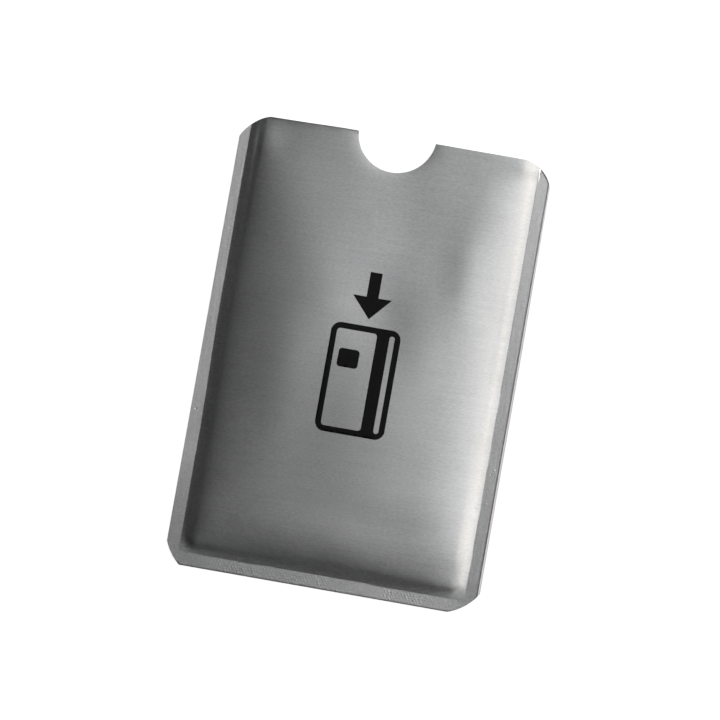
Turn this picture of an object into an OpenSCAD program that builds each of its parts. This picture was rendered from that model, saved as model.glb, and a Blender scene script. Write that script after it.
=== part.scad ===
// Shielding sleeve for one bank or transit card.
// Two three-layer laminate panels (clear-coated metallised film, aluminium
// foil, white sealing film) lie face to face and are heat-sealed along the
// left, right and lower edges. The front panel is formed into a shallow raised
// pocket. The mouth is the +Y edge, with a thumb notch through both panels.
// The sleeve lies on its back panel at z = 0, and +Z is the printed front.

/* [Sleeve] */
// Overall width, across the mouth
sleeve_w = 63; // [62:0.5:66]
// Overall length, from the sealed lower edge to the mouth
sleeve_l = 91; // [90:0.5:96]
// Width of the strip of back panel that stands past the front panel's right edge
edge_step = 0.4; // [0.1:0.05:0.6]
// How much narrower that strip is at the mouth
edge_run_in = 0.2; // [0:0.02:0.3]

/* [Laminate] */
// Thickness of the brushed outer film
outer_film_t = 0.05; // [0.04:0.01:0.08]
// Thickness of the aluminium foil
foil_t = 0.03; // [0.02:0.01:0.05]
// Thickness of the white sealing film
inner_film_t = 0.07; // [0.05:0.01:0.1]
// Thickness of the printed ink
ink_t = 0.02; // [0.01:0.01:0.04]

/* [Pocket] */
// Clear height inside the pocket
pocket_h = 1.8; // [1.3:0.1:2.2]
// Radius of the crease where the wall leaves the flange, at the panel's underside
crease_r = 0.4; // [0.35:0.05:0.6]
// Radius of the shoulder where the wall turns into the top, at the panel's underside
shoulder_r = 1.6; // [1:0.1:1.8]
// Width of the left flange
left_flange_w = 2.4; // [2:0.1:3]
// Width of the right flange, on the back panel
right_flange_w = 2.7; // [2.2:0.1:3]
// Width of the lower flange
end_flange_w = 2.6; // [2.2:0.1:3]
// Plan radius of the pocket's lower left corner
left_foot_r = 2.9; // [2.8:0.1:3.6]
// Plan radius of the pocket's lower right corner
right_foot_r = 3.3; // [2.8:0.1:3.8]

/* [Thumb notch] */
// Radius of the notch
notch_r = 7.85; // [6:0.05:9]
// Depth of the notch from the mouth
notch_depth = 7; // [5:0.1:8]
// Sideways place of the notch
notch_x = -0.25; // [-1:0.05:1]

/* [Punched corners] */
// Lower left corner: lengths taken off the side and off the end
cut_lower_left = [4.35, 3.2]; // [3:0.05:6]
// Radius of the lower left corner's arc
arc_lower_left = 10.9; // [6.4:0.1:16]
// Lower right corner: lengths taken off the side and off the end
cut_lower_right = [4.6, 5.8]; // [3:0.05:6]
// Radius of the lower right corner's arc
arc_lower_right = 10.9; // [6.4:0.1:16]
// Left corner at the mouth: lengths taken off the side and off the end
cut_mouth_left = [4.65, 5.5]; // [3:0.05:6]
// Radius of the left mouth corner's arc
arc_mouth_left = 8.6; // [6.4:0.1:16]
// Right corner at the mouth: lengths taken off the side and off the end
cut_mouth_right = [5.25, 5.5]; // [3:0.05:6]
// Radius of the right mouth corner's arc
arc_mouth_right = 6.6; // [6.4:0.1:16]

/* [Print] */
// Sideways centre of the printed pictogram
print_x = 0.45; // [-6:0.05:6]
// Lengthwise centre of the printed pictogram
print_y = 1.85; // [-8:0.05:8]
// Width of the pictogram's card
print_w = 14; // [10:0.5:18]
// Length of the pictogram's card
card_l = 22; // [18:0.5:26]
// Line width of the pictogram's card
print_line = 1.2; // [0.8:0.1:1.6]
// Length of the arrow above the card
arrow_l = 9.4; // [7:0.1:10]
// Gap between the arrow's tip and the card
arrow_gap = 1.4; // [1:0.1:2]

/* [Hidden] */

$fn = 72;
panel_t = outer_film_t + foil_t + inner_film_t;
// Heights of the flat layers, from the surface that the sleeve lies on
z_back_foil = outer_film_t;
z_back_inner = outer_film_t + foil_t;
z_parting = panel_t;
z_top = 2 * panel_t + pocket_h;

// Edges of the blank, and the foot line of the pocket
x_edge = sleeve_w / 2;
y_edge = sleeve_l / 2;
x_front_edge = x_edge - edge_step;
x_left = -x_edge + left_flange_w;
x_right = x_edge - right_flange_w;
y_foot = -y_edge + end_flange_w;

// Section of the formed panel: crease arc, straight wall, shoulder arc.
// s runs inwards from the foot line, and every layer is the same section
// pushed out square to itself, so the layers touch all over.
// The wall climbs 4 for every 3 across (53 degrees).
wall_dir = [0.6, 0.8];
wall_out = [-wall_dir[1], wall_dir[0]];
wall_len = (pocket_h - (crease_r + shoulder_r) * (1 - wall_dir[0])) / wall_dir[1];
wall_foot = [crease_r * wall_dir[1], crease_r * (1 - wall_dir[0])];
wall_head = wall_foot + wall_len * wall_dir;
shoulder_at = wall_head - shoulder_r * wall_out;
rise_w = shoulder_at[0];
left_r = max(left_foot_r, rise_w + 0.2);
right_r = max(right_foot_r, rise_w + 0.2);
past = 8; // how far the pieces run past the blank before it trims them

// Centre of an arc of radius r through p and q, on the side of the origin
function arc_centre(p, q, r) =
    let (m = (p + q) / 2, d = q - p, c = norm(d),
         n = [-d[1], d[0]] / c, k = (n * m > 0) ? -1 : 1)
    m + k * sqrt(r * r - c * c / 4) * n;

// One punched corner, in the quarter that sx and sy point to. The waste starts
// a little inside the arc's ends, where the arc is already past the blank, so
// the arc alone says where the edge is cut.
module corner_waste(sx, sy, cut, r) {
    p = [sx * x_edge, sy * (y_edge - cut[0])];
    q = [sx * (x_edge - cut[1]), sy * y_edge];
    in = 0.5;
    difference() {
        translate([sx > 0 ? q[0] - in : -x_edge - past, sy > 0 ? p[1] - in : -y_edge - past])
            square([cut[1] + past + in, cut[0] + past + in]);
        translate(arc_centre(p, q, r)) circle(r = r);
    }
}

// Outline of the back panel. Its right edge runs in slightly towards the mouth.
module back_outline() {
    difference() {
        polygon([[-x_edge, -y_edge], [x_edge, -y_edge], [x_edge, 8],
                 [x_edge - edge_run_in, y_edge], [-x_edge, y_edge]]);
        corner_waste(-1, -1, cut_lower_left, arc_lower_left);
        corner_waste(1, -1, cut_lower_right, arc_lower_right);
        corner_waste(-1, 1, cut_mouth_left, arc_mouth_left);
        corner_waste(1, 1, cut_mouth_right, arc_mouth_right);
        translate([notch_x, y_edge - notch_depth + notch_r]) circle(r = notch_r);
    }
}

// Outline of the front panel, which stops short of the back panel on the right
module front_outline() {
    intersection() {
        back_outline();
        translate([-x_edge - 1, -y_edge - 1]) square([x_edge + x_front_edge + 1, sleeve_l + 2]);
    }
}

// Plan of the pocket inside its foot line, open past the mouth
module pocket_plan() {
    xa = x_left + left_r;
    xb = x_right - right_r;
    translate([x_left, y_foot + left_r]) square([left_r, sleeve_l]);
    translate([x_right - right_r, y_foot + right_r]) square([right_r, sleeve_l]);
    translate([xa, y_foot]) square([xb - xa, sleeve_l + max(left_r, right_r)]);
    translate([xa, y_foot + left_r]) circle(r = left_r);
    translate([xb, y_foot + right_r]) circle(r = right_r);
}

// Part of the plane between two directions u and v, less than 90 degrees apart
module wedge(u, v, r) {
    polygon([[0, 0], 2 * r * u, 2 * r * (u + v), 2 * r * v]);
}

module ring(r_in, r_out) {
    difference() { circle(r = r_out); circle(r = r_in); }
}

// Section of one layer between heights a and b above the panel's underside.
// flange is the flat length outside the foot line, reach the length inside it.
module layer_section(a, b, flange, reach) {
    if (flange > 0) translate([-flange, z_parting + a]) square([flange, b - a]);
    translate([0, z_parting + crease_r]) intersection() {
        ring(crease_r - b, crease_r - a);
        wedge([0, -1], -wall_out, crease_r);
    }
    translate([0, z_parting])
        polygon([wall_foot + a * wall_out, wall_head + a * wall_out,
                 wall_head + b * wall_out, wall_foot + b * wall_out]);
    translate([shoulder_at[0], shoulder_at[1] + z_parting]) intersection() {
        ring(shoulder_r + a, shoulder_r + b);
        wedge([0, 1], wall_out, shoulder_r + b);
    }
    translate([rise_w, z_parting + pocket_h + a]) square([reach - rise_w, b - a]);
}

// One corner of the formed panel, turned about the corner's own axis
module formed_corner(a, b, flange, r) {
    rotate_extrude(angle = 90) translate([r, 0]) mirror([1, 0]) layer_section(a, b, flange, r);
}

// One layer of the formed front panel, before it is trimmed to the outline
module formed_layer(a, b, flange) {
    xa = x_left + left_r;
    xb = x_right - right_r;
    near = min(left_r, right_r);
    y_end = y_edge + past;
    // left and right walls
    translate([x_left, y_end, 0]) rotate([90, 0, 0])
        linear_extrude(height = y_end - y_foot - left_r) layer_section(a, b, flange, left_r);
    translate([x_right, y_end, 0]) mirror([1, 0, 0]) rotate([90, 0, 0])
        linear_extrude(height = y_end - y_foot - right_r) layer_section(a, b, flange, right_r);
    // lower wall and its two corners
    translate([xa, y_foot, 0]) rotate([90, 0, 90])
        linear_extrude(height = xb - xa) layer_section(a, b, flange, near);
    translate([xa, y_foot + left_r, 0]) rotate([0, 0, 180]) formed_corner(a, b, flange, left_r);
    translate([xb, y_foot + right_r, 0]) rotate([0, 0, 270]) formed_corner(a, b, flange, right_r);
    // flat top
    translate([xa, y_foot + near, z_parting + pocket_h + a])
        cube([xb - xa, y_end - y_foot - near, b - a]);
}

module front_layer(a, b, flange) {
    intersection() {
        formed_layer(a, b, flange);
        translate([0, 0, -1]) linear_extrude(height = z_top + 2) front_outline();
    }
}

module front_inner_film() {
    color([0.93, 0.93, 0.92]) front_layer(0, inner_film_t, 0);
}

module front_foil() {
    color([0.80, 0.81, 0.82]) front_layer(inner_film_t, inner_film_t + foil_t, past);
}

module front_outer_film() {
    color([0.55, 0.55, 0.56]) front_layer(inner_film_t + foil_t, panel_t, past);
}

module back_outer_film() {
    color([0.55, 0.55, 0.56]) linear_extrude(height = outer_film_t) back_outline();
}

module back_foil() {
    color([0.80, 0.81, 0.82])
        translate([0, 0, z_back_foil]) linear_extrude(height = foil_t) back_outline();
}

module back_inner_film() {
    color([0.93, 0.93, 0.92])
        translate([0, 0, z_back_inner]) linear_extrude(height = inner_film_t)
            intersection() { back_outline(); pocket_plan(); }
}

// The welded bands, where the two sealing films have melted into one.
// The side bands run round the lower corners and meet the lower band there.
module left_side_seal() {
    color([0.86, 0.86, 0.85])
        translate([0, 0, z_back_inner]) linear_extrude(height = 2 * inner_film_t)
            difference() {
                intersection() {
                    front_outline();
                    translate([-x_edge - 1, -y_edge - 1]) square([left_flange_w + left_r + 1, sleeve_l + 2]);
                }
                pocket_plan();
            }
}

module right_band(outer) {
    difference() {
        intersection() {
            if (outer) back_outline(); else front_outline();
            translate([x_right - right_r, -y_edge - 1]) square([right_r + right_flange_w + 1, sleeve_l + 2]);
        }
        pocket_plan();
    }
}

// Full weld under the front panel, and the back panel's own film on the strip
// that stands past it
module right_side_seal() {
    color([0.86, 0.86, 0.85]) {
        translate([0, 0, z_back_inner]) linear_extrude(height = inner_film_t) right_band(true);
        translate([0, 0, z_back_inner + inner_film_t]) linear_extrude(height = inner_film_t) right_band(false);
    }
}

module bottom_seal() {
    color([0.86, 0.86, 0.85])
        translate([0, 0, z_back_inner]) linear_extrude(height = 2 * inner_film_t)
            difference() {
                intersection() {
                    front_outline();
                    translate([x_left + left_r, -y_edge - 1])
                        square([x_right - right_r - x_left - left_r, end_flange_w + 1]);
                }
                translate([-x_edge, y_foot]) square([sleeve_w, 1]);
            }
}

// Rectangle with round corners, from its lower left corner
module round_rect(w, h, r) {
    translate([r, 0]) square([w - 2 * r, h]);
    translate([0, r]) square([w, h - 2 * r]);
    for (x = [r, w - r], y = [r, h - r]) translate([x, y]) circle(r = r);
}

// Plain pictogram: a card with a stripe and a chip, and an arrow that shows
// which way it goes in
module front_print() {
    total = card_l + arrow_gap + arrow_l;
    color([0.05, 0.05, 0.055])
        translate([print_x, print_y - total / 2, z_top]) linear_extrude(height = ink_t) {
            difference() {
                translate([-print_w / 2, 0]) round_rect(print_w, card_l, 2);
                translate([-print_w / 2 + print_line, print_line])
                    round_rect(print_w - 2 * print_line, card_l - 2 * print_line, 0.9);
            }
            translate([print_w * 0.16, print_line / 2]) square([print_w * 0.18, card_l - print_line]);
            translate([-print_w * 0.34, card_l * 0.6]) round_rect(print_w * 0.3, card_l * 0.17, 0.7);
            translate([0, card_l + arrow_gap]) {
                polygon([[0, 0], [3.9, 4.4], [-3.9, 4.4]]);
                translate([-1.2, 4.2]) square([2.4, arrow_l - 4.2]);
            }
        }
}

front_outer_film();
front_foil();
front_inner_film();
back_inner_film();
back_foil();
back_outer_film();
left_side_seal();
right_side_seal();
bottom_seal();
front_print();
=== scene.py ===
"""Brushed shielding sleeve: formed front panel, welded flanges, flat back, printed pictogram."""
import math

import bpy
import numpy as np
from mathutils import Matrix, Vector
from mathutils.geometry import delaunay_2d_cdt
from mathutils.kdtree import KDTree


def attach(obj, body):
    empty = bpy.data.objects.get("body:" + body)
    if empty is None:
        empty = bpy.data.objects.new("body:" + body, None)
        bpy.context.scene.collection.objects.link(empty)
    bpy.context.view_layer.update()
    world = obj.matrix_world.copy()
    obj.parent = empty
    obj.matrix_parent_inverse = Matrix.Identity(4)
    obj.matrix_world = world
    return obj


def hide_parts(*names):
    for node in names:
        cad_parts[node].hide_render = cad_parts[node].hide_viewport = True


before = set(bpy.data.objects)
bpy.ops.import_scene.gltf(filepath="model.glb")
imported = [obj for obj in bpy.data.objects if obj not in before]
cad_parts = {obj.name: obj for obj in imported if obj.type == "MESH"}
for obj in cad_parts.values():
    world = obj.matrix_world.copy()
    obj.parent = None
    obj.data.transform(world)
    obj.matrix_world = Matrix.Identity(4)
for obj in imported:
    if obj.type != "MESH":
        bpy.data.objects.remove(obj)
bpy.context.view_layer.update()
MM = 0.001

# ---------------------------------------------------------------- blank outline (mm)
XE, YE = 31.5, 45.5
X_FRONT = 31.1
NX, NY, NR = -0.25, 46.35, 7.85
CUTS = [(-1, -1, 4.35, 3.2, 10.9), (1, -1, 4.6, 5.8, 10.9), (1, 1, 5.25, 5.5, 6.6), (-1, 1, 4.65, 5.5, 8.6)]


def arc_centre(p, q, r):
    p, q = np.array(p, float), np.array(q, float)
    m, d = (p + q) / 2, q - p
    c = np.linalg.norm(d)
    n = np.array([-d[1], d[0]]) / c
    k = -1 if n @ m > 0 else 1
    return m + k * math.sqrt(r * r - c * c / 4) * n


ARCS = []
for sx, sy, side, end, r in CUTS:
    c = arc_centre((sx * XE, sy * (YE - side)), (sx * (XE - end), sy * YE), r)
    ARCS.append((sx, sy, c[0], c[1], r))


def mouth(x):
    return 45.53 + np.where(
        x < 0, 0.17 * np.exp(-(((x + 10) / 7) ** 2)), 0.06 * np.exp(-(((x - 9) / 6) ** 2)))


def right_edge(y, front):
    full = XE - 0.2 * np.clip((y - 8) / 37.5, 0, 1)
    return np.minimum(full, X_FRONT) if front else full


def edge_distance(x, y, front=True):
    """Distance inwards from the cut edge."""
    d = np.minimum.reduce([x + XE, right_edge(y, front) - x, y + YE, mouth(x) - y])
    for sx, sy, cx, cy, r in ARCS:
        q = r - np.hypot(x - cx, y - cy)
        d = np.where((sx * (x - cx) > 0) & (sy * (y - cy) > 0), np.minimum(d, q), d)
    return np.minimum(d, np.hypot(x - NX, y - NY) - NR)


def line(p, q, step):
    n = max(1, int(round(math.hypot(q[0] - p[0], q[1] - p[1]) / step)))
    t = np.arange(n)[:, None] / n
    return np.array(p)[None] * (1 - t) + np.array(q)[None] * t


def arc(cx, cy, r, a0, a1, step):
    n = max(2, int(round(abs(a1 - a0) * r / step)))
    a = a0 + (a1 - a0) * np.arange(n) / n
    return np.stack([cx + r * np.cos(a), cy + r * np.sin(a)], 1)


def corner_arc(k, front, step):
    """The points of corner k, in the order of a walk with the part on the left, and where the arc ends."""
    sx, sy, cx, cy, r = ARCS[k]
    yb = -YE if sy < 0 else 45.53
    on_end = (cx + sx * math.sqrt(r * r - (yb - cy) ** 2), yb)
    x = sx * XE
    for _ in range(6):
        y = cy + sy * math.sqrt(r * r - (x - cx) ** 2)
        x = float(right_edge(np.array(y), front)) if sx > 0 else -XE
    on_side = (x, cy + sy * math.sqrt(r * r - (x - cx) ** 2))
    a, b = (on_end, on_side) if sx * sy < 0 else (on_side, on_end)
    a0, a1 = math.atan2(a[1] - cy, a[0] - cx), math.atan2(b[1] - cy, b[0] - cx)
    if a1 < a0:
        a1 += 2 * math.pi
    return arc(cx, cy, r, a0, a1, step), a, b


def blank(front, bottom=0.12, side=0.3, curve=0.2):
    """The panel's outline, counter-clockwise."""
    ll, ll_a, ll_b = corner_arc(0, front, curve)
    lr, lr_a, lr_b = corner_arc(1, front, curve)
    mr, mr_a, mr_b = corner_arc(2, front, curve)
    ml, ml_a, ml_b = corner_arc(3, front, curve)
    parts = [line(ll_b, lr_a, bottom), lr]
    up = line(lr_b, mr_a, side)
    up[1:, 0] = right_edge(up[1:, 1], front)
    parts += [up, mr]
    dx = math.sqrt(NR ** 2 - (45.56 - NY) ** 2)
    right = line(mr_b, (NX + dx, 45.56), side)
    right[1:, 1] = mouth(right[1:, 0])
    a = -math.asin((NY - 45.58) / NR)
    parts += [right, arc(NX, NY, NR, a, -math.pi - a - 0.02, curve)]
    left = line((NX - math.sqrt(NR ** 2 - (45.69 - NY) ** 2), 45.69), ml_a, side)
    left[:, 1] = mouth(left[:, 0])
    parts += [left, ml, line(ml_b, ll_a, side), ll]
    return np.concatenate(parts)


# ---------------------------------------------------------------- foot of the pocket
FOOT_RL, FOOT_RR, X_R, Y_F = 3.5, 3.4, 28.62, -42.85


def x_l(y):
    return -29.13 - 0.26 * np.tanh((y + 6) / 9) - 0.002 * np.maximum(y, 0)


def y_f(x):
    return Y_F + 0.09 * np.exp(-(((x + 1) / 15) ** 2))


def corner_dist(a, b, r):
    qx, qy = r - a, r - b
    return r - np.hypot(np.maximum(qx, 0), np.maximum(qy, 0)) - np.minimum(np.maximum(qx, qy), 0)


def foot_dist(x, y):
    """Distance inwards from the pocket's foot line; negative on the flanges."""
    dl, dr, db = x - x_l(y), X_R - x, y - y_f(x)
    return np.where(x < 0, corner_dist(dl, db, FOOT_RL), corner_dist(dr, db, FOOT_RR))


def foot_curve(s, step, top=47.0):
    """The line at distance s inside the foot line, from the mouth on the left round to the mouth on the right."""
    rl, rr = FOOT_RL - s, FOOT_RR - s
    yl = np.arange(top, Y_F + FOOT_RL, -step)
    out = [np.stack([x_l(yl) + s, yl], 1)]
    cx = x_l(Y_F + FOOT_RL) + FOOT_RL
    if rl > 0.05:
        out.append(arc(cx, Y_F + FOOT_RL, rl, math.pi, 1.5 * math.pi, min(step, rl / 3)))
    out.append(line((cx, Y_F + s), (X_R - FOOT_RR, Y_F + s), step))
    if rr > 0.05:
        out.append(arc(X_R - FOOT_RR, Y_F + FOOT_RR, rr, 1.5 * math.pi, 2 * math.pi, min(step, rr / 3)))
    yr = np.arange(Y_F + FOOT_RR, top, step)
    out.append(np.stack([np.full_like(yr, X_R - s), yr], 1))
    return np.concatenate(out)


# ---------------------------------------------------------------- shape of the front panel
SHAPE = dict(t1=0.268, d1=0.746, cr=1.478, h3=1.168, px=4.055, Wy=11.038, py=2.501, cs=1.741, cb=1.856)
# Swells and dents of the crown: centre x, centre y, half-width x, half-width y, height
SWELLS = [
    (6, 33, 7, 12, -0.184), (27, 1, 7, 12, -0.099), (-12, 5, 7, 12, 0.108), (-27, 33, 7, 6, 0.205),
    (27, 45, 4, 3, 0.235), (18, 21, 2.5, 6, 0.107), (3, -11, 7, 12, 0.177), (12, -31, 7, 3, -0.060),
    (27, 9, 4, 12, -0.067), (15, 41, 4, 12, -0.088), (-27, 37, 7, 6, 0.044), (27, -35, 2.5, 3, 0.157),
    (9, -39, 7, 3, 0.110), (-18, -39, 7, 12, -0.106), (27, -39, 2.5, 6, -0.175), (-27, 41, 2.5, 3, 0.240),
    (27, 17, 2.5, 12, -0.108), (27, -31, 7, 6, 0.279), (9, 25, 7, 6, -0.101), (-15, 1, 4, 12, 0.100),
    (-9, 13, 4, 6, 0.099), (21, -39, 7, 3, -0.118), (3, 9, 4, 6, -0.136), (-27, -22, 2.5, 8, -0.006),
    (-26, -35, 3, 4, 0.079), (-26, 44, 3, 3, 0.014), (23, -30, 3, 4, -0.026), (-8, -41, 8, 2, -0.042),
    (5, -27, 7, 4, 0.047), (-18, 20, 4, 6, 0.009), (12, 5, 3, 6, 0.039), (-20, -12, 4, 6, -0.049),
    (20, 35, 4, 4, 0.017), (-28.3, 43, 1.6, 5, 0.050), (28, -29, 1.6, 7, 0.060)]
FADE = 3.0


def step(a, b, v):
    t = np.clip((v - a) / (b - a), 0, 1)
    return t * t * (3 - 2 * t)


def wall(s, t, d, c):
    s = np.maximum(s, 0)
    a = np.minimum(s, c)
    b = np.maximum(s - c, 0)
    return t * (a / 2 - c / (2 * math.pi) * np.sin(math.pi * a / c)) + t * d * (1 - np.exp(-b / d))


def crown(u, w, p):
    v = np.clip(u / w, 0, 1)
    return 1 - (1 - v) ** p


def lips(x, y):
    """The cut edges: rolled down by the punch along the bottom, turned up at the right and at the mouth."""
    e = edge_distance(x, y)
    g = np.exp(-((e / 0.16) ** 2))
    low = step(-44.6, -45.2, y)
    right = step(30.5, 30.9, x) * (1 - low)
    mouth_left = step(44.9, 45.3, y) * step(1.0, -1.0, x)
    hook = step(28.9, 29.2, x) * step(41.6, 42.6, y)
    return g * (-0.05 * low + 0.025 * right * (1 - hook) + 0.03 * mouth_left + 0.04 * hook)


def soft_min(a, b, k):
    return -k * np.log(np.exp(-np.clip(a, -1, 20) / k) + np.exp(-np.clip(b, -1, 20) / k))


def base_height(x, y):
    """Top of the front panel without its fine marks, in mm."""
    P = SHAPE
    dl, dr, db = x - x_l(y), X_R - x, y - y_f(x)
    s = foot_dist(x, y)
    side = np.minimum(dl, dr)
    wgt = np.clip(0.5 + 0.5 * (side - db) / 2.0, 0, 1)
    cs = np.where(x < 0, P["cs"], P["cr"])
    c = cs * (1 - wgt) + P["cb"] * wgt
    z = wall(s, P["t1"], P["d1"], c) + P["t1"] * (1.5 - c) / 2 * step(0, 4, s)
    inside = (dl > 0) & (dr > 0) & (db > 0)
    z = z + np.where(inside, P["h3"] * crown(dl, 28.9, P["px"]) * crown(dr, 28.9, P["px"]) * crown(db, P["Wy"], P["py"]), 0)
    w = np.zeros_like(x)
    for cx, cy, sx, sy, a in SWELLS:
        w = w + a * np.exp(-0.5 * ((x - cx) / sx) ** 2 - 0.5 * ((y - cy) / sy) ** 2)
    z = z + w * step(0, FADE, soft_min(side, db, 0.7))
    d = np.maximum(np.hypot(x - NX, y - NY) - NR, 0)
    z = z - 0.085 * np.exp(-d / 1.25) * step(0, 1, s)
    # the pocket's corner at the mouth stands a little proud of the flange beside it
    z = z + 0.10 * step(22.5, 28.5, x) * step(28.98, 28.68, x) * step(41.2, 43.8, y)
    return 0.30 + z + lips(x, y)


def lattice_noise(x, y, sx, sy, seed):
    """Smooth noise in -1 to 1, with cells of sx by sy mm."""
    table = np.random.RandomState(seed).rand(128, 128) * 2 - 1
    u, v = x / sx + 500.0, y / sy + 500.0
    i, j = np.floor(u).astype(int), np.floor(v).astype(int)
    fu, fv = u - i, v - j
    fu, fv = fu * fu * (3 - 2 * fu), fv * fv * (3 - 2 * fv)
    a, b = table[i % 128, j % 128], table[(i + 1) % 128, j % 128]
    c, d = table[i % 128, (j + 1) % 128], table[(i + 1) % 128, (j + 1) % 128]
    return (a * (1 - fu) + b * fu) * (1 - fv) + (c * (1 - fu) + d * fu) * fv


def knurl(x, y, pitch=0.66, rows=0.50, radius=0.27):
    """Pressed dots on a loose hexagonal lattice, 0 to 1."""
    rng = np.random.RandomState(7)
    jx, jy, hh = rng.rand(256, 64) - 0.5, rng.rand(256, 64) - 0.5, rng.rand(256, 64)
    j0 = np.floor(y / rows + 200).astype(int)
    best = np.zeros_like(x)
    for dj in (-1, 0, 1):
        j = j0 + dj
        off = np.where(j % 2 == 0, 0.0, 0.5)
        i0 = np.floor(x / pitch - off + 200).astype(int)
        for di in (-1, 0, 1, 2):
            i = i0 + di
            a, b = i % 256, j % 64
            cx = (i - 200 + off + 0.22 * jx[a, b]) * pitch
            cy = (j - 200 + 0.25 * jy[a, b]) * rows
            d2 = ((x - cx) ** 2 + (y - cy) ** 2) / radius ** 2
            best = np.maximum(best, np.where(d2 < 1, (1 - d2) ** 2, 0) * (0.35 + 0.65 * hh[a, b] ** 1.5))
    return best


PITS = [(-30.5, -14.35, 0.16, -0.03), (30.1, -16.4, 0.14, 0.03), (29.6, -17.3, 0.12, -0.025), (29.6, -23.2, 0.14, 0.028),
        (29.7, -33.0, 0.12, 0.024), (-30.2, 22.4, 0.12, -0.02), (-30.7, 4.3, 0.1, 0.02), (29.9, 9.7, 0.1, 0.02), (-30.0, -31.5, 0.12, 0.02)]


def marks(x, y):
    """The fine marks: knurl of the lower weld, drawn streaks of the side welds, pits, crinkles at the foot."""
    s = foot_dist(x, y)
    e = edge_distance(x, y)
    flange = step(-0.12, -0.4, s) * step(0.03, 0.3, e)
    low = step(-38.2, -41.2, y)
    patch = (0.75 + 0.35 * lattice_noise(x, y, 1.9, 1.3, 31)) * (0.55 + 0.45 * step(-27, -18, x) * step(30, 25, x))
    z = 0.018 * knurl(x, y) * flange * low * patch
    z = z + flange * low * (0.0022 * lattice_noise(x + 0.5 * y, y, 0.30, 0.30, 3) + 0.0014 * lattice_noise(x, y, 0.2, 0.2, 4))
    sides = flange * (1 - low)
    z = z + sides * (0.0022 * lattice_noise(x, y, 0.28, 3.4, 11) + 0.0020 * lattice_noise(x + 0.6 * y, y, 0.40, 0.46, 12)
                     + 0.0018 * lattice_noise(x - 0.6 * y, y, 0.34, 0.42, 13))
    for cx, cy, r, h in PITS:
        z = z + flange * h * np.exp(-((x - cx) ** 2 + (y - cy) ** 2) / r ** 2)
    band = np.exp(-(((x - 27.7) / 0.55) ** 2)) * step(-1, -6, y) * step(-41.5, -37, y)
    z = z + band * 0.010 * lattice_noise(x, y, 0.9, 1.25, 21)
    ridge = np.exp(-(((x - 25.3) / 0.8) ** 2) - (((y + 41.0) / 0.4) ** 2))
    z = z + 0.008 * ridge * np.cos(2 * math.pi * (x - 24.2) / 0.32)
    return z


def weld_grey_and_painted_light_level(x, y):
    """How the welding bars have marked the film of the flanges, with painted light and shade mixed in: up to 1 dulled
    to a pale grey, down to -1 darkened. The level climbs towards the top and the right as painted light, and the lower
    right corner is pulled below 0 as painted shade.
    """
    s = foot_dist(x, y)
    # painted light: the side flanges grow paler towards the top, the bottom flange towards the right
    side = np.where(x < 0, 0.25 + 0.75 * step(-38, -22, y), 0.05 + 0.35 * step(-34, -14, y) + 0.45 * step(-5, 38, y))
    low = 0.12 + 0.4 * step(-12, 16, x) * step(29.5, 22, x)
    f = step(-38, -42, y)
    # painted shade: the lower right corner of the flange is pulled below 0, which darkens it
    corner = step(27.2, 28.6, x) * step(-37.5, -40, y)
    return step(0.02, -0.2, s) * (side * (1 - f) + low * f - 0.45 * corner)


def full_height(x, y):
    return base_height(x, y) + marks(x, y)


def normals_of(f, x, y, h=0.01):
    gx = (f(x + h, y) - f(x - h, y)) / (2 * h)
    gy = (f(x, y + h) - f(x, y - h)) / (2 * h)
    n = np.stack([-gx, -gy, np.ones_like(gx)], 1)
    return n / np.linalg.norm(n, axis=1, keepdims=True)


def below(x, y, depth):
    """The panel's surface at that depth under its top, square to the sheet, and its normals."""
    n = normals_of(base_height, x, y)
    return np.stack([x, y, base_height(x, y)], 1) - n * depth, n


# ---------------------------------------------------------------- meshing
def add_points(kept, new, gap):
    """Keeps those of the new points that are at least gap from all kept ones."""
    if len(kept) == 0:
        return new
    tree = KDTree(len(kept))
    for i, (a, b) in enumerate(kept):
        tree.insert((a, b, 0), i)
    tree.balance()
    ok = [tree.find((a, b, 0))[2] > gap for a, b in new]
    return np.concatenate([kept, new[np.array(ok, bool)]])


def triangulate(outline, inner, inside):
    """Triangles over a counter-clockwise outline and the points inside it. Point numbers are those of the two lists in a row."""
    pts = np.concatenate([outline, inner]) if len(inner) else outline
    n = len(outline)
    verts = [Vector((float(a), float(b))) for a, b in pts]
    v, _, faces, orig, _, _ = delaunay_2d_cdt(verts, [(i, (i + 1) % n) for i in range(n)], [], 0, 1e-7, True)
    first = np.array([o[0] if o else -1 for o in orig])
    tri = first[np.array([f for f in faces if len(f) == 3])]
    tri = tri[(tri >= 0).all(1)]
    c = pts[tri].mean(1)
    tri = tri[inside(c[:, 0], c[:, 1])]
    a, b, c = (pts[tri[:, k]] for k in range(3))
    area = (b[:, 0] - a[:, 0]) * (c[:, 1] - a[:, 1]) - (b[:, 1] - a[:, 1]) * (c[:, 0] - a[:, 0])
    tri[area < 0] = tri[area < 0][:, ::-1]
    return pts, tri[np.abs(area) > 1e-9]


def hexes(x0, x1, y0, y1, step_):
    rows = np.arange(y0, y1, step_ * 0.866)
    out = []
    for k, yy in enumerate(rows):
        xx = np.arange(x0 + (step_ / 2 if k % 2 else 0), x1, step_)
        out.append(np.stack([xx, np.full_like(xx, yy)], 1))
    return np.concatenate(out)


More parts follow.
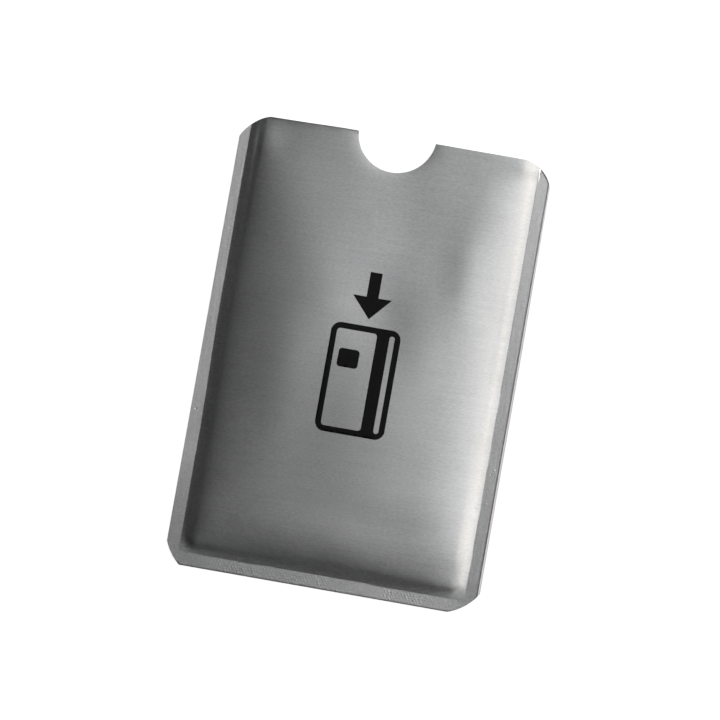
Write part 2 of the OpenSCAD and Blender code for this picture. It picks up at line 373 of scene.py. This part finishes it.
def panel_points(outline, front, fine):
    """Points inside a panel's outline, dense where its shape or its edge needs them."""
    pts = outline
    t = np.roll(outline, -1, 0) - np.roll(outline, 1, 0)
    t /= np.linalg.norm(t, axis=1, keepdims=True)
    inwards = np.stack([-t[:, 1], t[:, 0]], 1)
    for d in ((0.05, 0.1, 0.16, 0.24) if fine else (0.08, 0.2)):
        row = outline + inwards * d
        row = row[edge_distance(row[:, 0], row[:, 1], front) > 0.85 * d]
        pts = add_points(pts, row, 0.035)

    def within(p, gap):
        return p[edge_distance(p[:, 0], p[:, 1], front) > gap]

    if fine:
        gx, gy = np.meshgrid(np.arange(-31, 31.2, 0.095), np.arange(-45.3, -42.8, 0.095))
        g = within(np.stack([gx.ravel(), gy.ravel()], 1), 0.29)
        g = g[foot_dist(g[:, 0], g[:, 1]) < -0.2]
        corners = hexes(-31.4, -26, -44, -38.5, 0.1), hexes(25.4, 31, -44, -38.5, 0.1)
        for c in corners:
            c = within(c, 0.29)
            c = c[(foot_dist(c[:, 0], c[:, 1]) < -0.2) & (c[:, 1] > -42.85)]
            g = np.concatenate([g, c])
        pts = add_points(pts, g, 0.05)
        for cx, cy, r, h in PITS:
            pts = add_points(pts, within(hexes(cx - 0.35, cx + 0.35, cy - 0.35, cy + 0.35, 0.05), 0.2), 0.03)
        for s in (-0.15, -0.05, 0.05, 0.15, 0.27, 0.4, 0.55, 0.7, 0.85, 1.0, 1.3, 1.65, 2.05, 2.5):
            pts = add_points(pts, within(foot_curve(s, 0.4), 0.3), 0.09)
        pts = add_points(pts, within(hexes(24.0, 26.7, -41.9, -40.2, 0.08), 0.3), 0.05)
        pts = add_points(pts, within(hexes(26.4, 28.7, -41.5, -1.0, 0.24), 0.3), 0.12)
        for x0, x1 in ((-31.2, -28.7), (28.5, 30.9)):
            gx, gy = np.meshgrid(np.arange(x0, x1, 0.13), np.arange(-41, 45.2, 0.17))
            g = within(np.stack([gx.ravel() , gy.ravel()], 1), 0.29)
            g = g[foot_dist(g[:, 0], g[:, 1]) < -0.15]
            pts = add_points(pts, g, 0.08)
        ring = hexes(-31, 31, -43, 45.3, 0.45)
        s = foot_dist(ring[:, 0], ring[:, 1])
        near_notch = np.hypot(ring[:, 0] - NX, ring[:, 1] - NY) < NR + 3.5
        pts = add_points(pts, within(ring[((s > 2.6) & (s < 5.6)) | (near_notch & (s > 0))], 0.3), 0.3)
        pts = add_points(pts, within(hexes(-26, 26, -39, 45.2, 0.9), 0.35), 0.55)
    else:
        for s in (-0.05, 0.3, 0.6, 0.95, 1.4, 2.0, 2.7):
            pts = add_points(pts, within(foot_curve(s, 0.9), 0.25), 0.2)
        pts = add_points(pts, within(hexes(-31, 31, -45.2, 45.4, 1.5), 0.3), 0.8)
    return pts[len(outline):]


def make_mesh(name, verts, tris, quads, vert_normals, smooth_tris):
    """A mesh in metres from parts in mm. vert_normals are used on the faces numbered below smooth_tris; the rest, the cut edges, are flat."""
    faces = [tuple(int(i) for i in f) for f in tris] + [tuple(int(i) for i in f) for f in quads]
    me = bpy.data.meshes.new(name)
    me.from_pydata([tuple(v) for v in verts * MM], [], faces)
    uv = me.uv_layers.new(name="grain")
    loops = np.zeros(len(me.loops), np.int32)
    me.loops.foreach_get("vertex_index", loops)
    co = verts[loops]
    me.polygons.foreach_set("use_smooth", np.ones(len(me.polygons), bool))
    start = np.zeros(len(me.polygons), np.int32)
    total = np.zeros(len(me.polygons), np.int32)
    me.polygons.foreach_get("loop_start", start)
    me.polygons.foreach_get("loop_total", total)
    fn = np.zeros(len(me.polygons) * 3, np.float32)
    me.polygons.foreach_get("normal", fn)
    normals = np.repeat(fn.reshape(-1, 3), total, 0)
    a = np.abs(normals)
    across = np.stack([co[:, 1], -co[:, 0]], 1)
    across = np.where(((a[:, 2] < 0.5) & (a[:, 0] > a[:, 1]))[:, None], np.stack([co[:, 1], co[:, 2]], 1), across)
    across = np.where(((a[:, 2] < 0.5) & (a[:, 0] <= a[:, 1]))[:, None], np.stack([co[:, 2], -co[:, 0]], 1), across)
    uv.data.foreach_set("uv", across.ravel().astype(np.float32) * 0.01)
    top = np.repeat(np.arange(len(faces)) < smooth_tris, total)
    normals[top] = vert_normals[loops[top]]
    me.normals_split_custom_set([tuple(float(a) for a in n) for n in normals])
    # the weld attribute carries the weld's pale grey together with painted light and painted shade on the flanges
    weld = me.attributes.new("weld", "FLOAT", "POINT")
    weld.data.foreach_set("value", weld_grey_and_painted_light_level(verts[:, 0], verts[:, 1]).astype(np.float32))
    me.update()
    o = bpy.data.objects.new(name, me)
    bpy.context.scene.collection.objects.link(o)
    return o


def shell(name, n_edge, top, top_tri, top_n, bottom, bottom_tri, bottom_n):
    """A closed sheet. The first n_edge points of both faces are the same outline."""
    k = len(top)
    i = np.arange(n_edge)
    j = (i + 1) % n_edge
    quads = np.stack([i + k, j + k, j, i], 1)
    tris = np.concatenate([top_tri, bottom_tri[:, ::-1] + k])
    return make_mesh(name, np.concatenate([top, bottom]), tris, quads,
                     np.concatenate([top_n, -bottom_n]), len(tris))


def panel_inside(front):
    return lambda x, y: edge_distance(x, y, front) > 0


# ---------------------------------------------------------------- front panel
outline_f = blank(True)
NF = len(outline_f)
fine_pts, fine_tri = triangulate(outline_f, panel_points(outline_f, True, True), panel_inside(True))
mid_pts, mid_tri = triangulate(outline_f, panel_points(outline_f, True, False), panel_inside(True))
fx, fy = fine_pts[:, 0], fine_pts[:, 1]
mx, my = mid_pts[:, 0], mid_pts[:, 1]
top_z = np.stack([fx, fy, full_height(fx, fy)], 1)
top_n = normals_of(full_height, fx, fy)
under, under_n = below(mx, my, 0.0495)
front_film = shell("front_film_skin", NF, top_z, fine_tri, top_n, under, mid_tri, under_n)
foil_a, foil_n = below(mx, my, 0.0505)
foil_b, _ = below(mx, my, 0.0795)
front_foil = shell("front_foil_sheet", NF, foil_a, mid_tri, foil_n, foil_b, mid_tri, foil_n)

# ---------------------------------------------------------------- pocket lining and welds
foot = foot_curve(0.0, 0.45)
foot = foot[edge_distance(foot[:, 0], foot[:, 1]) > 0.12]
foot_lining = foot_curve(0.03, 0.45)
foot_lining = foot_lining[edge_distance(foot_lining[:, 0], foot_lining[:, 1]) > 0.12]


def outline_between(a, b, outline):
    """Part of an outline from the point nearest a on to the point nearest b."""
    i = int(np.argmin(np.hypot(*(outline - a).T)))
    j = int(np.argmin(np.hypot(*(outline - b).T)))
    return outline[i:j + 1] if i <= j else np.concatenate([outline[i:], outline[:j + 1]])


def exit_point(curve, end):
    """Where the foot line runs out through the cut edge, past that end of the trimmed curve."""
    p, q = (curve[0], curve[1]) if end == 0 else (curve[-1], curve[-2])
    d = (p - q) / np.linalg.norm(p - q)
    t = 0.0
    for _ in range(40):
        t += float(edge_distance(*(p + t * d)[:, None])[0]) * 0.7
    return p + t * d


left_exit, right_exit = exit_point(foot_lining, 0), exit_point(foot_lining, -1)
along = outline_between(right_exit, left_exit, outline_f)
lining_outline = np.concatenate([foot_lining, right_exit[None], along[1:-1], left_exit[None]])


def in_polygon(poly):
    def test(x, y):
        hit = np.zeros(len(x), bool)
        p, q = poly, np.roll(poly, -1, 0)
        for (x0, y0), (x1, y1) in zip(p, q):
            if y0 != y1:
                cross = (y0 > y) != (y1 > y)
                hit ^= cross & (x < (x1 - x0) * (y - y0) / (y1 - y0) + x0)
        return hit
    return test


def inner_points(poly, candidates, gap):
    c = candidates[in_polygon(poly)(candidates[:, 0], candidates[:, 1])]
    return add_points(poly, c, gap)[len(poly):]


cand = mid_pts[NF:]
lin_pts, lin_tri = triangulate(lining_outline, inner_points(lining_outline, cand, 0.25), in_polygon(lining_outline))
lx, ly = lin_pts[:, 0], lin_pts[:, 1]
lin_a, lin_n = below(lx, ly, 0.0805)
lin_b, _ = below(lx, ly, 0.1495)
front_lining = shell("front_lining", len(lining_outline), lin_a, lin_tri, lin_n, lin_b, lin_tri, lin_n)
up = np.tile([0.0, 0.0, 1.0], (len(lin_pts), 1))


def flat(pts, z):
    return np.stack([pts[:, 0], pts[:, 1], np.full(len(pts), z)], 1)


back_lining = shell("back_lining", len(lining_outline), flat(lin_pts, 0.1495), lin_tri, up,
                    flat(lin_pts, 0.0805), lin_tri, up)


def band_top(p):
    """Underside of the front foil on the flange."""
    s = foot_dist(p[:, 0], p[:, 1])
    return 0.2195 + lips(p[:, 0], p[:, 1]) + 0 * s


def band(name, poly):
    """A weld band as a closed sheet between the two foils."""
    c = cand[foot_dist(cand[:, 0], cand[:, 1]) < -0.1]
    pts, tri = triangulate(poly, inner_points(poly, c, 0.25), in_polygon(poly))
    n = np.tile([0.0, 0.0, 1.0], (len(pts), 1))
    a = np.stack([pts[:, 0], pts[:, 1], band_top(pts)], 1)
    return shell(name, len(poly), a, tri, n, flat(pts, 0.0805), tri, n)


XA = float(x_l(Y_F + FOOT_RL)) + FOOT_RL
XB = X_R - FOOT_RR
foot_exit_l, foot_exit_r = exit_point(foot, 0), exit_point(foot, -1)
out_l = outline_between(foot_exit_l, np.array([XA, -YE]), outline_f)
foot_l = foot[(foot[:, 0] < XA - 0.05)]
foot_m = foot[(foot[:, 0] > XA + 0.05) & (foot[:, 0] < XB - 0.05)]
foot_r = foot[(foot[:, 0] > XB + 0.05)]
left_poly = np.concatenate([foot_exit_l[None], out_l[1:-1], [[XA - 0.01, -YE]], [[XA - 0.01, Y_F]], foot_l[::-1]])
out_b = outline_between(np.array([XA, -YE]), np.array([XB, -YE]), outline_f)
bottom_poly = np.concatenate([[[XA + 0.01, -YE]], out_b[1:-1], [[XB - 0.01, -YE]], [[XB - 0.01, Y_F]], foot_m[::-1], [[XA + 0.01, Y_F]]])
left_band = band("left_weld", left_poly)
bottom_band = band("bottom_weld", bottom_poly)

# The right weld carries on as a strip of the back panel past the front panel's edge.
outline_b = blank(False)
out_r = outline_between(np.array([XB, -YE]), foot_exit_r, outline_f)
right_poly = np.concatenate([[[XB + 0.01, -YE]], out_r[1:-1], foot_exit_r[None], foot_r[::-1], [[XB + 0.01, Y_F]]])
on_edge = np.abs(out_r[:, 0] - X_FRONT) < 1e-4
edge_line = out_r[on_edge]
b_side = outline_between(edge_line[0], edge_line[-1], outline_b)
b_side = b_side[b_side[:, 0] > X_FRONT + 0.02]


def stepped_band(name):
    c = cand[foot_dist(cand[:, 0], cand[:, 1]) < -0.1]
    p1, t1 = triangulate(right_poly, inner_points(right_poly, c, 0.25), in_polygon(right_poly))
    strip = np.concatenate([edge_line[:1], b_side, edge_line[-1:], edge_line[1:-1][::-1]])
    p2, t2 = triangulate(strip, np.zeros((0, 2)), in_polygon(strip))
    n1, n2, m = len(p1), len(p2), len(right_poly)
    tree = {tuple(np.round(q, 4)): i for i, q in enumerate(p1[:m])}
    same = np.array([tree.get(tuple(np.round(q, 4)), -1) for q in p2])
    # levels: high top of the band, low top of the strip, bottom of both
    a = np.stack([p1[:, 0], p1[:, 1], band_top(p1)], 1)
    low1 = flat(p1[:m], 0.1495)
    bot1, top2, bot2 = flat(p1, 0.0805), flat(p2, 0.1495), flat(p2, 0.0805)
    verts = np.concatenate([a, bot1, low1, top2, bot2])
    o_bot1, o_low1, o_top2, o_bot2 = n1, 2 * n1, 2 * n1 + m, 2 * n1 + m + n2
    top2_id = np.where(same >= 0, same + o_low1, np.arange(n2) + o_top2)
    bot2_id = np.where(same >= 0, same + o_bot1, np.arange(n2) + o_bot2)
    tris = np.concatenate([t1, t1[:, ::-1] + o_bot1, top2_id[t2], bot2_id[t2][:, ::-1]])
    shared = set(int(i) for i in same if i >= 0)
    quads = []
    for i in range(m):
        j = (i + 1) % m
        if i in shared and j in shared:
            quads.append((i + o_low1, j + o_low1, j, i))
        else:
            quads.append((i + o_bot1, j + o_bot1, j, i))
    k = len(strip)
    for i in range(k):
        j = (i + 1) % k
        if same[i] >= 0 and same[j] >= 0:
            continue
        quads.append((int(bot2_id[i]), int(bot2_id[j]), int(top2_id[j]), int(top2_id[i])))
    # the ends of the edge line have a vertex halfway up; split the two walls that meet there
    fixed = []
    ends = {int(same[0]), int(same[len(b_side) + 1])}
    for q in quads:
        hit = [v for v in q if v < m and v in ends]
        if hit and (hit[0] + o_bot1) in q and (hit[0] + o_low1) not in q:
            low, out = hit[0] + o_low1, []
            for a_, b_ in zip(q, q[1:] + q[:1]):
                out.append(a_)
                if {a_, b_} == {hit[0], hit[0] + o_bot1}:
                    out.append(low)
            q = tuple(out)
        fixed.append(q)
    used = sorted({int(i) for f in list(tris) + fixed for i in f})
    new = {o: i for i, o in enumerate(used)}
    tris = np.array([[new[int(i)] for i in f] for f in tris])
    fixed = [tuple(new[int(i)] for i in f) for f in fixed]
    v = verts[used]
    nt = len(t1)
    nn = np.tile([0.0, 0.0, 1.0], (len(v), 1))
    return make_mesh(name, v, tris, fixed, nn, 0)


right_band = stepped_band("right_weld")

# ---------------------------------------------------------------- back panel
NB = len(outline_b)


def back_bottom(x, y):
    """Underside of the back film: flat, with the lower weld's pattern showing through as shallow hollows."""
    s = foot_dist(x, y)
    e = edge_distance(x, y, False)
    m = step(-0.12, -0.5, s) * step(0.1, 0.5, e) * step(-38.5, -41, y)
    return 0.016 * m * knurl(x, y) + 0.012 * np.exp(-((e / 0.12) ** 2))


bx_pts = panel_points(outline_b, False, False)
gx, gy = np.meshgrid(np.arange(-31, 31.3, 0.13), np.arange(-45.3, -43, 0.13))
grid = np.stack([gx.ravel(), gy.ravel()], 1)
grid = grid[(edge_distance(grid[:, 0], grid[:, 1], False) > 0.25)]
back_fine = add_points(np.concatenate([outline_b, grid]), bx_pts, 0.12)[NB:]
bf_pts, bf_tri = triangulate(outline_b, back_fine, panel_inside(False))
bm_pts, bm_tri = triangulate(outline_b, bx_pts, panel_inside(False))
bu = np.tile([0.0, 0.0, 1.0], (len(bm_pts), 1))
bot = np.stack([bf_pts[:, 0], bf_pts[:, 1], back_bottom(bf_pts[:, 0], bf_pts[:, 1])], 1)
back_film = shell("back_film_skin", NB, flat(bm_pts, 0.0495), bm_tri, bu, bot, bf_tri,
                  normals_of(back_bottom, bf_pts[:, 0], bf_pts[:, 1]))
back_foil = shell("back_foil_sheet", NB, flat(bm_pts, 0.0795), bm_tri, bu, flat(bm_pts, 0.0505), bm_tri, bu)

# ---------------------------------------------------------------- printed pictogram
CX, CY0 = 0.45, 1.85 - 16.4


def round_rect(x0, y0, w, h, r, step_=0.35):
    out = []
    for cx, cy, a in ((x0 + w - r, y0 + r, -0.5), (x0 + w - r, y0 + h - r, 0), (x0 + r, y0 + h - r, 0.5), (x0 + r, y0 + r, 1)):
        out.append(arc(cx, cy, r, a * math.pi, (a + 0.5) * math.pi, r / 6))
    pts = np.concatenate(out)
    q = np.roll(pts, -1, 0)
    return np.concatenate([line(a, b, step_) for a, b in zip(pts, q)])


def polygon(pts, step_=0.35):
    return np.concatenate([line(a, b, step_) for a, b in zip(pts, pts[1:] + pts[:1])])


def ink_shape(outer, holes):
    """Top and bottom faces of one patch of ink, and the loops round it."""
    loops = [outer] + [h[::-1] for h in holes]
    edge = np.concatenate(loops)
    ids, k = [], 0
    for lp in loops:
        ids.append(np.arange(k, k + len(lp)))
        k += len(lp)
    x0, y0, x1, y1 = *outer.min(0), *outer.max(0)
    fill = hexes(x0, x1, y0, y1, 0.6)
    inside_outer = in_polygon(outer)
    tests = [in_polygon(h) for h in holes]

    def inside(x, y):
        m = inside_outer(x, y)
        for t in tests:
            m &= ~t(x, y)
        return m
    fill = fill[inside(fill[:, 0], fill[:, 1])]
    pts = add_points(edge, fill, 0.22)
    segs = [(int(a), int(b)) for i in ids for a, b in zip(i, np.roll(i, -1))]
    v, _, faces, orig, _, _ = delaunay_2d_cdt([Vector((float(a), float(b))) for a, b in pts], segs, [], 0, 1e-7, True)
    first = np.array([o[0] for o in orig])
    tri = first[np.array([f for f in faces if len(f) == 3])]
    c = pts[tri].mean(1)
    tri = tri[inside(c[:, 0], c[:, 1])]
    a, b, c = (pts[tri[:, j]] for j in range(3))
    area = (b[:, 0] - a[:, 0]) * (c[:, 1] - a[:, 1]) - (b[:, 1] - a[:, 1]) * (c[:, 0] - a[:, 0])
    tri[area < 0] = tri[area < 0][:, ::-1]
    return pts, tri, ids


def pictogram():
    w, h, ln = 14.0, 22.0, 1.2
    x0, y0 = CX - w / 2, CY0
    sx0, sx1 = CX + 2.24, CX + 2.24 + 2.52
    inner_y0, inner_h = y0 + ln, h - 2 * ln
    # the card's frame and its stripe are one patch with two windows
    win_l = round_rect(x0 + ln, inner_y0, sx0 - x0 - ln, inner_h, 0.7)
    win_r = round_rect(sx1, inner_y0, x0 + w - ln - sx1, inner_h, 0.5)
    patches = [ink_shape(round_rect(x0, y0, w, h, 2.0), [win_l, win_r]),
               ink_shape(round_rect(CX - 4.76, y0 + 13.2, 4.2, 3.74, 0.7), [])]
    ya = y0 + h + 1.4
    arrow = [(0, 0), (3.9, 4.4), (1.2, 4.4), (1.2, 9.4), (-1.2, 9.4), (-1.2, 4.4), (-3.9, 4.4)]
    patches.append(ink_shape(polygon([(CX + a, ya + b) for a, b in arrow]), []))
    verts, tris, quads, norms, k = [], [], [], [], 0
    for pts, tri, loops in patches:
        x, y = pts[:, 0], pts[:, 1]
        n = normals_of(base_height, x, y)
        p = np.stack([x, y, base_height(x, y)], 1)
        verts += [p + 0.014 * n, p + 0.0005 * n]
        norms += [n, -n]
        m = len(pts)
        tris += [tri + k, tri[:, ::-1] + k + m]
        for i in loops:
            j = np.roll(i, -1)
            quads.append(np.stack([i + m, j + m, j, i], 1) + k)
        k += 2 * m
    tris, quads = np.concatenate(tris), np.concatenate(quads)
    return make_mesh("pictogram_ink", np.concatenate(verts), tris, quads, np.concatenate(norms), len(tris))


ink = pictogram()


# ---------------------------------------------------------------- materials
def new_material(name):
    m = bpy.data.materials.new(name)
    m.use_nodes = True
    nt = m.node_tree
    nt.nodes.clear()
    out = nt.nodes.new("ShaderNodeOutputMaterial")
    bsdf = nt.nodes.new("ShaderNodeBsdfPrincipled")
    nt.links.new(bsdf.outputs[0], out.inputs[0])
    return m, nt, bsdf


def noise(nt, scale, detail=2.0, rough=0.5, stretch=(1, 1, 1)):
    """Noise in object space; scale is cells per mm, stretch multiplies it along x, y and z."""
    tc = nt.nodes.new("ShaderNodeTexCoord")
    mp = nt.nodes.new("ShaderNodeMapping")
    mp.inputs["Scale"].default_value = tuple(1000.0 * s for s in stretch)
    nt.links.new(tc.outputs["Object"], mp.inputs["Vector"])
    n = nt.nodes.new("ShaderNodeTexNoise")
    n.inputs["Scale"].default_value = scale
    n.inputs["Detail"].default_value = detail
    n.inputs["Roughness"].default_value = rough
    nt.links.new(mp.outputs[0], n.inputs["Vector"])
    return n.outputs["Fac"]


def ramp(nt, fac, lo, hi, a=0.3, b=0.7):
    """A grey or colour between lo and hi, following fac."""
    m = nt.nodes.new("ShaderNodeMapRange")
    m.inputs["From Min"].default_value = a
    m.inputs["From Max"].default_value = b
    nt.links.new(fac, m.inputs["Value"])
    if isinstance(lo, (int, float)):
        m.inputs["To Min"].default_value = lo
        m.inputs["To Max"].default_value = hi
        return m.outputs[0]
    mix = nt.nodes.new("ShaderNodeMix")
    mix.data_type = "RGBA"
    mix.inputs[6].default_value = (*lo, 1)
    mix.inputs[7].default_value = (*hi, 1)
    nt.links.new(m.outputs[0], mix.inputs[0])
    return mix.outputs[2]


def bump(nt, fac, distance, strength, under=None):
    b = nt.nodes.new("ShaderNodeBump")
    b.inputs["Distance"].default_value = distance
    b.inputs["Strength"].default_value = strength
    nt.links.new(fac, b.inputs["Height"])
    if under is not None:
        nt.links.new(under, b.inputs["Normal"])
    return b.outputs[0]


def average(nt, a, b, f=0.5):
    m = nt.nodes.new("ShaderNodeMix")
    m.inputs[0].default_value = f
    nt.links.new(a, m.inputs[2])
    nt.links.new(b, m.inputs[3])
    return m.outputs[0]


def brushed_film():
    m, nt, b = new_material("brushed_film")
    fine = noise(nt, 1.0, 2, 0.6, (1.5, 5.0, 1.0))
    coarse = noise(nt, 1.0, 2, 0.5, (0.09, 1.7, 0.5))
    cloud = noise(nt, 0.11, 2, 0.5)
    both = average(nt, average(nt, fine, coarse, 0.22), cloud, 0.2)
    colour = ramp(nt, both, (0.522, 0.527, 0.534), (0.712, 0.716, 0.721), 0.33, 0.67)
    # weld: the pressed flanges' pale grey, mixed in by a level that also holds painted light towards the top right
    weld = nt.nodes.new("ShaderNodeAttribute")
    weld.attribute_name = "weld"
    weld_grey_and_painted_light_mix = nt.nodes.new("ShaderNodeMix")
    weld_grey_and_painted_light_mix.data_type = "RGBA"
    nt.links.new(weld.outputs["Fac"], weld_grey_and_painted_light_mix.inputs[0])
    nt.links.new(colour, weld_grey_and_painted_light_mix.inputs[6])
    nt.links.new(ramp(nt, average(nt, fine, cloud, 0.4), (0.80, 0.802, 0.805), (0.95, 0.95, 0.945), 0.35, 0.65), weld_grey_and_painted_light_mix.inputs[7])
    # painted shade: the colour is darkened where the weld level is below 0, at the flange's lower right corner
    painted_shade_darkening = nt.nodes.new("ShaderNodeMix")
    painted_shade_darkening.data_type = "RGBA"
    painted_shade_darkening.blend_type = "MULTIPLY"
    painted_shade_darkening.inputs[0].default_value = 1.0
    nt.links.new(weld_grey_and_painted_light_mix.outputs[2], painted_shade_darkening.inputs[6])
    nt.links.new(ramp(nt, weld.outputs["Fac"], (0.72, 0.72, 0.72), (1.0, 1.0, 1.0), -1.0, 0.0), painted_shade_darkening.inputs[7])
    nt.links.new(painted_shade_darkening.outputs[2], b.inputs["Base Color"])
    b.inputs["Metallic"].default_value = 1.0
    nt.links.new(ramp(nt, fine, 0.33, 0.37, 0.3, 0.7), b.inputs["Roughness"])
    b.inputs["Anisotropic"].default_value = 0.8
    t = nt.nodes.new("ShaderNodeTangent")
    t.direction_type = "UV_MAP"
    t.uv_map = "grain"
    nt.links.new(t.outputs[0], b.inputs["Tangent"])
    nt.links.new(bump(nt, fine, 0.000004, 0.35), b.inputs["Normal"])
    return m


def foil_metal():
    m, nt, b = new_material("foil")
    n = noise(nt, 2.2, 3, 0.6)
    nt.links.new(ramp(nt, n, (0.82, 0.825, 0.83), (0.90, 0.90, 0.90)), b.inputs["Base Color"])
    b.inputs["Metallic"].default_value = 1.0
    nt.links.new(ramp(nt, n, 0.22, 0.32), b.inputs["Roughness"])
    return m


def white_film(name, lo, hi, rough):
    m, nt, b = new_material(name)
    n = noise(nt, 0.9, 4, 0.6)
    grain = noise(nt, 7.0, 2, 0.6)
    nt.links.new(ramp(nt, average(nt, n, grain, 0.35), lo, hi), b.inputs["Base Color"])
    nt.links.new(ramp(nt, grain, rough - 0.05, rough + 0.05), b.inputs["Roughness"])
    nt.links.new(bump(nt, grain, 0.00001, 0.3), b.inputs["Normal"])
    return m


def black_ink():
    m, nt, b = new_material("ink")
    n = noise(nt, 1.3, 3, 0.6)
    speck = noise(nt, 9.0, 2, 0.5)
    nt.links.new(ramp(nt, average(nt, n, speck), (0.002, 0.002, 0.0022), (0.007, 0.007, 0.0075)), b.inputs["Base Color"])
    nt.links.new(ramp(nt, speck, 0.42, 0.52), b.inputs["Roughness"])
    b.inputs["Specular IOR Level"].default_value = 0.12
    nt.links.new(bump(nt, speck, 0.000004, 0.4), b.inputs["Normal"])
    return m


MATERIALS = {
    "brushed_film": brushed_film(),
    "foil": foil_metal(),
    "sealing_film": white_film("sealing_film", (0.80, 0.80, 0.79), (0.88, 0.88, 0.875), 0.45),
    "seal_band": white_film("seal_band", (0.84, 0.84, 0.83), (0.93, 0.93, 0.925), 0.5),
    "ink": black_ink(),
}
for obj, node, slot in (
        (front_film, "front_outer_film", "brushed_film"), (front_foil, "front_foil", "foil"),
        (front_lining, "front_inner_film", "sealing_film"), (back_lining, "back_inner_film", "sealing_film"),
        (back_foil, "back_foil", "foil"), (back_film, "back_outer_film", "brushed_film"),
        (left_band, "left_side_seal", "seal_band"), (right_band, "right_side_seal", "seal_band"),
        (bottom_band, "bottom_seal", "seal_band"), (ink, "front_print", "ink")):
    obj.data.materials.append(MATERIALS[slot])
    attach(obj, "root")
    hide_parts(node)

# ---------------------------------------------------------------- floor
bpy.ops.mesh.primitive_plane_add(size=6.0, location=(0, 0, -0.00012))
floor = bpy.context.active_object
floor.name = "floor"
m, nt, b = new_material("floor_white")
b.inputs["Base Color"].default_value = (0.42, 0.42, 0.42, 1)
b.inputs["Roughness"].default_value = 0.9
b.inputs["Specular IOR Level"].default_value = 0.0
b.inputs["Emission Color"].default_value = (1, 1, 1, 1)
b.inputs["Emission Strength"].default_value = 0.86
floor.data.materials.append(m)
floor.visible_glossy = False

# ---------------------------------------------------------------- light
FILM = 0.62
SOFT = dict(S3=0.374, c3=0.300, d3=0.941, S1=1.137, k1=0.672, a1=0.054, b1=0.232, S2=0.309, a2=-0.174, b2=1.247, c1=-0.196, d1=-0.029)
world = bpy.data.worlds.new("softboxes")
bpy.context.scene.world = world
world.use_nodes = True
nt = world.node_tree
nt.nodes.clear()


def node(kind, **props):
    n = nt.nodes.new(kind)
    for k, v in props.items():
        setattr(n, k, v)
    return n


def put(socket, v):
    if isinstance(v, (int, float)):
        socket.default_value = v
    else:
        nt.links.new(v, socket)


def calc(op, a, b_=0.0, c=None):
    n = node("ShaderNodeMath", operation=op)
    put(n.inputs[0], a)
    put(n.inputs[1], b_)
    if c is not None:
        put(n.inputs[2], c)
    return n.outputs[0]


def soft(v, a, b_, top=1.0):
    n = node("ShaderNodeMapRange", interpolation_type="SMOOTHSTEP")
    put(n.inputs["Value"], v)
    n.inputs["From Min"].default_value = a
    n.inputs["From Max"].default_value = b_
    n.inputs["To Max"].default_value = top
    return n.outputs[0]


tc = node("ShaderNodeTexCoord")
sep = node("ShaderNodeSeparateXYZ")
nt.links.new(tc.outputs["Generated"], sep.inputs[0])
U, V, Z = sep.outputs
q = soft(Z, 0.10, 0.45)
s1 = soft(calc("MULTIPLY_ADD", V, SOFT["k1"], U), SOFT["a1"], SOFT["b1"], SOFT["S1"])
s2 = soft(U, SOFT["a2"], SOFT["b2"], SOFT["S2"])
s3 = soft(V, SOFT["c3"], SOFT["d3"], SOFT["S3"])
lit = calc("MULTIPLY", soft(V, SOFT["c1"], SOFT["d1"]), calc("SUBTRACT", 1.0, soft(V, 0.40, 0.78, 0.8)))
lamp = calc("MULTIPLY", calc("ADD", s1, s2), lit)
fill = calc("MULTIPLY", soft(calc("MULTIPLY", U, -1.0), 0.4, 0.7, 0.15), soft(V, 0.35, 0.62))
sky = calc("ADD", calc("ADD", s3, fill), lamp)
rim = calc("MULTIPLY_ADD", U, 0.06, 0.32)
total = calc("ADD", calc("MULTIPLY", sky, q), calc("MULTIPLY", rim, calc("SUBTRACT", 1.0, q)))
bg = node("ShaderNodeBackground")
tint = node("ShaderNodeMix", data_type="RGBA")
tint.inputs[6].default_value = (0.997, 1.0, 1.002, 1)
tint.inputs[7].default_value = (1.03, 1.004, 0.962, 1)
nt.links.new(soft(U, 0.1, 0.45), tint.inputs[0])
nt.links.new(tint.outputs[2], bg.inputs["Color"])
nt.links.new(calc("MULTIPLY", total, 1.0 / FILM), bg.inputs["Strength"])
white = node("ShaderNodeBackground")
white.inputs["Color"].default_value = (1, 1, 1, 1)
white.inputs["Strength"].default_value = 1.0
path = node("ShaderNodeLightPath")
mix = node("ShaderNodeMixShader")
nt.links.new(path.outputs["Is Camera Ray"], mix.inputs[0])
nt.links.new(bg.outputs[0], mix.inputs[1])
nt.links.new(white.outputs[0], mix.inputs[2])
out = node("ShaderNodeOutputWorld")
nt.links.new(mix.outputs[0], out.inputs[0])

scene = bpy.context.scene
scene.view_settings.view_transform = "Standard"
scene.view_settings.look = "None"
scene.view_settings.exposure = 0.0
scene.view_settings.gamma = 1.0

# ---------------------------------------------------------------- camera
cam = bpy.data.cameras.new("camera")
camera = bpy.data.objects.new("camera", cam)
scene.collection.objects.link(camera)
cam.sensor_width = 36.0
cam.lens = 211.92
cam.clip_start, cam.clip_end = 0.05, 20.0
back = Vector((0.06496584, -0.06724194, 0.99561939)).normalized()
upward = Vector((-0.16930821, 0.98251882, 0.0774048))
side = upward.cross(back).normalized()
upward = back.cross(side)
camera.matrix_world = Matrix.Translation(Vector((54.73318, -55.89141, 838.16443)) * MM) @ Matrix((side, upward, back)).transposed().to_4x4()
scene.camera = camera
